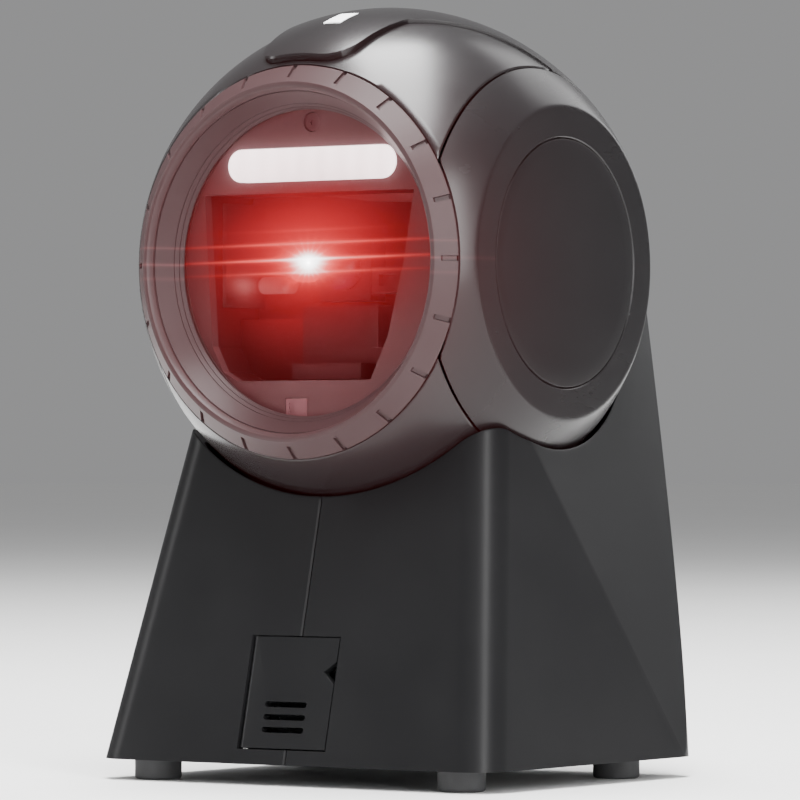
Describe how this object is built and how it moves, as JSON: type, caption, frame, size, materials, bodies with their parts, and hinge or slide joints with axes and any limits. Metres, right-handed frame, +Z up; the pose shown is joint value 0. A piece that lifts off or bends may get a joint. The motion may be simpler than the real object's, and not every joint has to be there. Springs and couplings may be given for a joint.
{
  "type": "presentation barcode scanner",
  "caption": "Hands-free omnidirectional barcode scanner: a ball head with a round scan window that tilts in a tapered stand with a rear spine and a hinged front door.",
  "frame": {"origin": "on the resting surface, under the middle of the whole object", "axes": "+Z up, the scan window faces -Y, +X to the right when looking at the window"},
  "size_m": [0.0916, 0.089, 0.1485],
  "materials": {
    "stand_plastic": "fine satin texture, black",
    "plate_plastic": "matte black",
    "foot_rubber": "matte black rubber",
    "screw_steel": "zinc-plated steel",
    "ballast_iron": "cast, dark grey",
    "board_laminate": "green printed-circuit laminate with solder mask",
    "board_white": "white solder mask",
    "socket_plastic": "black moulded connector",
    "bracket_plastic": "dark grey",
    "speaker_metal": "plated steel basket",
    "speaker_paper": "black paper cone",
    "door_plastic": "satin black",
    "cast_alloy": "die-cast, as cast",
    "bush_brass": "sintered bronze look",
    "harness_rubber": "black jacket",
    "head_plastic": "semi-gloss black",
    "cheek_plastic": "semi-gloss black",
    "disc_plastic": "satin black",
    "bezel_plastic": "satin warm grey",
    "retainer_plastic": "satin warm grey",
    "window_glass": "red-tinted clear window",
    "gasket_rubber": "black foam rubber",
    "tray_plastic": "satin grey, lit red",
    "lamp_diffuser": "milky diffuser, lit white",
    "cavity_plastic": "dark grey, lit red",
    "mirror_glass": "front-surface mirror",
    "imager_plastic": "black camera housing",
    "lens_glass": "coated lens",
    "aimer_glow": "red aiming lamp, lit",
    "lamp_lens": "clear lamp domes",
    "sensor_plastic": "smoked sensor window",
    "washer_fibre": "fibre friction washer",
    "status_diffuser": "milky light pipe, lit white"
  },
  "bodies": {
    "stand": {"stand_shell_left": "stand_plastic", "stand_shell_right": "stand_plastic", "bottom_plate": "plate_plastic", "rubber_feet": "foot_rubber", "plate_screws": "screw_steel", "ballast_blocks": "ballast_iron", "ballast_screws": "screw_steel", "interface_board": "board_laminate", "cable_socket": "socket_plastic", "speaker_bracket": "bracket_plastic", "speaker_frame": "speaker_metal", "speaker_cone": "speaker_paper", "tilt_stem": "cast_alloy", "stem_screws": "screw_steel", "stem_bushes": "bush_brass", "stem_harness": "harness_rubber", "harness_clips": "bracket_plastic"},
    "door": {"service_door": "door_plastic", "door_pin": "screw_steel"},
    "head": {"front_shell": "head_plastic", "rear_shell": "head_plastic", "cheek_shell_left": "cheek_plastic", "cheek_shell_right": "cheek_plastic", "cheek_disc_left": "disc_plastic", "cheek_disc_right": "disc_plastic", "cheek_screws": "screw_steel", "bezel_ring": "bezel_plastic", "window_retainer": "retainer_plastic", "scan_window": "window_glass", "window_gasket": "gasket_rubber", "optical_tray": "tray_plastic", "light_bar": "lamp_diffuser", "light_bar_board": "board_white", "tray_screw": "screw_steel", "cavity_housing": "cavity_plastic", "step_bracket": "cavity_plastic", "side_block": "cavity_plastic", "side_mirror": "mirror_glass", "top_mirror": "mirror_glass", "imager_module": "imager_plastic", "imager_lens": "lens_glass", "aimer_lamp": "aimer_glow", "fill_lamps": "lamp_lens", "sensor_window": "sensor_plastic", "sensor_board": "board_laminate", "head_chassis": "cast_alloy", "tilt_axle": "screw_steel", "axle_nut": "screw_steel", "friction_washers": "washer_fibre", "decoder_board": "board_laminate", "board_screws": "screw_steel", "buzzer": "socket_plastic", "status_lens": "status_diffuser", "status_board": "board_laminate"}
  },
  "joints": [
    {"name": "head_tilt", "type": "hinge", "parent": "stand", "child": "head", "pos_m": [0, -0.008, 0.0986], "axis": [1, 0, 0], "range_deg": [-15, 15]},
    {"name": "door_hinge", "type": "hinge", "parent": "stand", "child": "door", "pos_m": [-0.0101, -0.04019, 0.01726], "axis": [0, -0.2334, -0.9724], "range_deg": [0, 90]}
  ]
}
